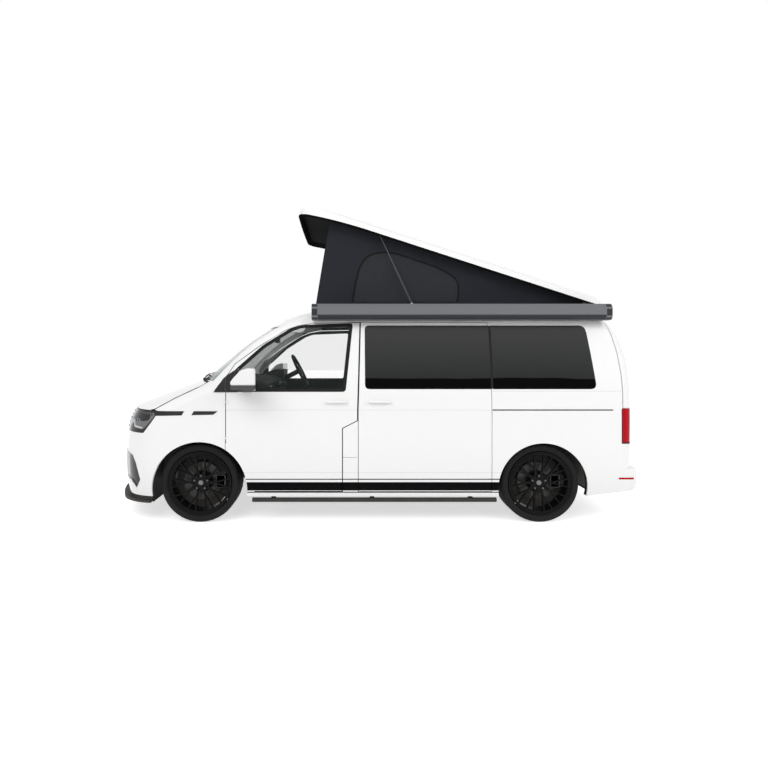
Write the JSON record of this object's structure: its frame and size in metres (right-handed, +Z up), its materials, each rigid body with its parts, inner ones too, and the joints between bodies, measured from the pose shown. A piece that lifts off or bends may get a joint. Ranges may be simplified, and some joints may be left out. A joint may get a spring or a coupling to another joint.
{
  "type": "camper van",
  "caption": "Short white camper van with a rear-hinged raised roof over a dark canvas tent, a side awning, black spoked wheels and opening doors.",
  "frame": {"origin": "on the ground, at the middle of the van's overall length and width", "axes": "+X forward to the nose, +Y to the van's left, +Z up"},
  "size_m": [4.8503, 2.45, 2.8507],
  "materials": {
    "white_paint": "gloss",
    "black_plastic": "satin",
    "grey_paint": "satin",
    "steel": "satin",
    "glass": "gloss",
    "lamp_glass": "gloss",
    "red_lamp": "gloss",
    "rubber": "matte",
    "black_alloy": "gloss",
    "cast": "matte",
    "canvas": "matte",
    "seat_fabric": "matte",
    "board": "satin",
    "dash_plastic": "matte"
  },
  "bodies": {
    "van": {"body_sides": "white_paint", "roof_panel": "white_paint", "underbody": "grey_paint", "front_wings": "white_paint", "scuttle": "black_plastic", "headlamps": "lamp_glass", "front_grille": "black_plastic", "front_bumper": "white_paint", "bumper_grilles": "black_plastic", "front_splitter": "black_plastic", "windscreen": "glass", "side_windows": "glass", "sliding_door": "white_paint", "tail_lamps": "red_lamp", "rear_bumper": "white_paint", "side_steps": "steel", "front_suspension": "cast", "rear_axle": "cast", "power_unit": "cast", "fuel_tank": "black_plastic", "exhaust": "steel", "awning": "grey_paint", "tent_canvas": "canvas", "dashboard": "dash_plastic", "cab_seats": "seat_fabric", "bench_seat": "seat_fabric", "kitchen_unit": "board", "steering_wheel": "dash_plastic"},
    "left_door": {"cab_door_left": "white_paint", "cab_window_left": "glass", "mirror_left": "white_paint"},
    "right_door": {"cab_door_right": "white_paint", "cab_window_right": "glass", "mirror_right": "white_paint"},
    "rear_door": {"tailgate": "white_paint", "tailgate_window": "glass"},
    "bonnet_lid": {"bonnet": "white_paint"},
    "raised_roof": {"pop_roof": "white_paint"},
    "strut_tubes": {"strut_cylinders": "black_plastic"},
    "strut_pistons": {"strut_rods": "steel"},
    "steer_knuckle_left": {"knuckle_left": "cast"},
    "steer_knuckle_right": {"knuckle_right": "cast"},
    "front_left_wheel": {"wheel_front_left": "black_alloy", "tyre_front_left": "rubber"},
    "front_right_wheel": {"wheel_front_right": "black_alloy", "tyre_front_right": "rubber"},
    "rear_left_wheel": {"wheel_rear_left": "black_alloy", "tyre_rear_left": "rubber"},
    "rear_right_wheel": {"wheel_rear_right": "black_alloy", "tyre_rear_right": "rubber"}
  },
  "joints": [
    {"name": "left_door_hinge", "type": "hinge", "parent": "van", "child": "left_door", "pos_m": [1.281, 0.957, 0.9], "axis": [0, 0, -1], "range_deg": [0, 70]},
    {"name": "right_door_hinge", "type": "hinge", "parent": "van", "child": "right_door", "pos_m": [1.281, -0.957, 0.9], "axis": [0, 0, 1], "range_deg": [0, 70]},
    {"name": "tailgate_hinge", "type": "hinge", "parent": "van", "child": "rear_door", "pos_m": [-2.22, 0, 1.781], "axis": [0, 1, 0], "range_deg": [0, 85]},
    {"name": "bonnet_hinge", "type": "hinge", "parent": "van", "child": "bonnet_lid", "pos_m": [1.442, 0, 1.222], "axis": [0, -1, 0], "range_deg": [0, 55]},
    {"name": "roof_hinge", "type": "hinge", "parent": "van", "child": "raised_roof", "pos_m": [-2.05, 0, 1.952], "axis": [0, -1, 0], "range_deg": [-18, 0], "deforming": ["tent_canvas"]},
    {"name": "strut_swing", "type": "hinge", "parent": "van", "child": "strut_tubes", "pos_m": [-0.392, 0, 1.958], "axis": [0, -1, 0], "range_deg": [-63, 0]},
    {"name": "strut_slide", "type": "slide", "parent": "strut_tubes", "child": "strut_pistons", "axis": [0.4218, 0, 0.9067], "range_m": [-0.312, 0]},
    {"name": "steer_left", "type": "hinge", "parent": "van", "child": "steer_knuckle_left", "pos_m": [1.51, 0.75, 0.345], "axis": [0, 0, 1], "range_deg": [-32, 32]},
    {"name": "steer_right", "type": "hinge", "parent": "van", "child": "steer_knuckle_right", "pos_m": [1.51, -0.75, 0.345], "axis": [0, 0, 1], "range_deg": [-32, 32]},
    {"name": "front_left_spin", "type": "hinge", "parent": "steer_knuckle_left", "child": "front_left_wheel", "pos_m": [1.51, 0.801, 0.345], "axis": [0, 1, 0], "continuous": true},
    {"name": "front_right_spin", "type": "hinge", "parent": "steer_knuckle_right", "child": "front_right_wheel", "pos_m": [1.51, -0.801, 0.345], "axis": [0, 1, 0], "continuous": true},
    {"name": "rear_left_spin", "type": "hinge", "parent": "van", "child": "rear_left_wheel", "pos_m": [-1.49, 0.801, 0.345], "axis": [0, 1, 0], "continuous": true},
    {"name": "rear_right_spin", "type": "hinge", "parent": "van", "child": "rear_right_wheel", "pos_m": [-1.49, -0.801, 0.345], "axis": [0, 1, 0], "continuous": true}
  ],
  "couplings": [
    {"joint": "steer_right", "follows": "steer_left", "ratio": 1},
    {"joint": "strut_swing", "follows": "roof_hinge", "ratio": 3.46},
    {"joint": "strut_slide", "follows": "roof_hinge", "m_per_rad": 0.9893}
  ]
}
